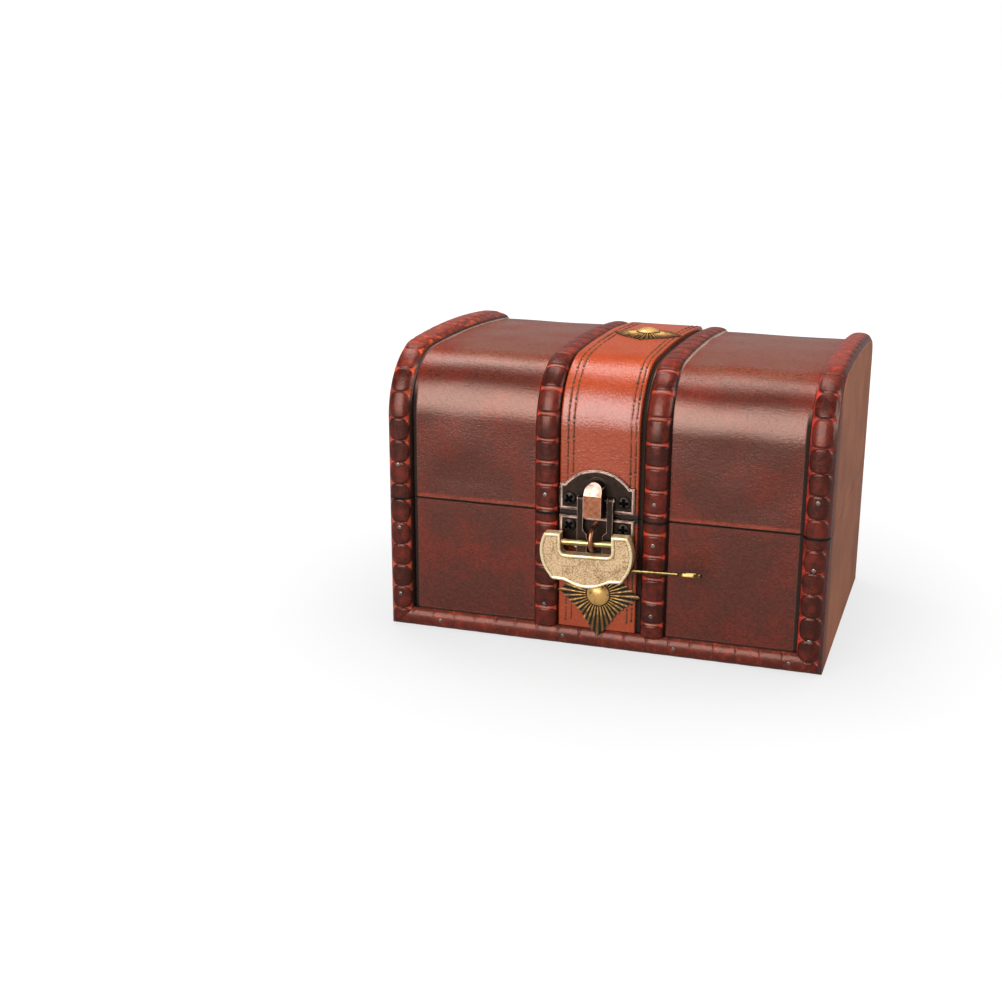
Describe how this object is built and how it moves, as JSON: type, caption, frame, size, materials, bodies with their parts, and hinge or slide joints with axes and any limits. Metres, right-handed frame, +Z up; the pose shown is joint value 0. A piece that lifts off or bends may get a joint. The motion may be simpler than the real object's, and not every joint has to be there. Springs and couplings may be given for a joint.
{
  "type": "treasure chest box",
  "caption": "Domed-lid wooden treasure chest with beaded half-round trim, a leather strap, a hinged lid, a hasp and staple latch and a side-opening padlock with its key.",
  "frame": {"origin": "on the ground, under the middle of the whole box with its latch, padlock and hinges", "axes": "+X along the front to the right as seen from the front, +Y from the front to the hinges, +Z up"},
  "size_m": [0.12, 0.0894, 0.0796],
  "materials": {
    "stained_wood": "red-brown stain under semi-gloss lacquer",
    "end_wood": "lighter brown stain, satin",
    "bead_trim": "dark brown beads with orange-red hollows, glossy lacquer",
    "strap_leather": "cognac leather with a fine grain and stitched edges",
    "stud_brass": "antique brass, dark in the flutes",
    "nail_steel": "bright steel",
    "latch_bronze": "dark bronze plating worn to copper at the edges",
    "screw_bronze": "blackened, cross recess",
    "staple_copper": "copper-coloured wire",
    "padlock_brass": "light antique brass, mottled face and bright border",
    "hinge_brass": "antique brass"
  },
  "bodies": {
    "base": {"base_front_panel": "stained_wood", "base_back_panel": "stained_wood", "base_left_end": "end_wood", "base_right_end": "end_wood", "base_floor": "stained_wood", "base_left_strip": "bead_trim", "base_right_strip": "bead_trim", "bottom_strip": "bead_trim", "base_left_band": "bead_trim", "base_right_band": "bead_trim", "base_strap": "strap_leather", "base_star_stud": "stud_brass", "base_trim_nails": "nail_steel", "staple_plate": "latch_bronze", "staple_plate_screws": "screw_bronze", "staple": "staple_copper", "hinge_base_leaves": "hinge_brass", "hinge_base_screws": "hinge_brass", "hinge_pins": "hinge_brass"},
    "lid": {"lid_skin": "stained_wood", "lid_left_end": "end_wood", "lid_right_end": "end_wood", "lid_left_strip": "bead_trim", "lid_right_strip": "bead_trim", "lid_left_band": "bead_trim", "lid_right_band": "bead_trim", "lid_strap": "strap_leather", "lid_star_stud": "stud_brass", "lid_trim_nails": "nail_steel", "hasp_plate": "latch_bronze", "hasp_plate_screws": "screw_bronze", "hinge_lid_leaves": "hinge_brass", "hinge_lid_screws": "hinge_brass"},
    "hasp": {"hasp_stirrup": "latch_bronze", "hasp_pin": "latch_bronze"},
    "padlock": {"padlock_body": "padlock_brass"},
    "shackle": {"padlock_shackle": "padlock_brass", "padlock_springs": "nail_steel"},
    "key": {"padlock_key": "padlock_brass"}
  },
  "joints": [
    {"name": "lid_hinge", "type": "hinge", "parent": "base", "child": "lid", "pos_m": [0, 0.04303, 0.0374], "axis": [-1, 0, 0], "range_deg": [0, 100]},
    {"name": "padlock_lift_off", "type": "slide", "parent": "base", "child": "padlock", "axis": [0, -1, 0], "range_m": [0, 0.05]},
    {"name": "hasp_swing", "type": "hinge", "parent": "lid", "child": "hasp", "pos_m": [-0.0008, -0.03927, 0.0425], "axis": [-1, 0, 0], "range_deg": [0, 110]},
    {"name": "shackle_slide", "type": "slide", "parent": "padlock", "child": "shackle", "axis": [-0.9994, 0, -0.0349], "range_m": [0, 0.014]},
    {"name": "key_slide", "type": "slide", "parent": "padlock", "child": "key", "axis": [0.9994, 0, 0.0349], "range_m": [0, 0.016]}
  ],
  "couplings": [
    {"joint": "hasp_swing", "follows": "padlock_lift_off", "rad_per_m": 38}
  ]
}
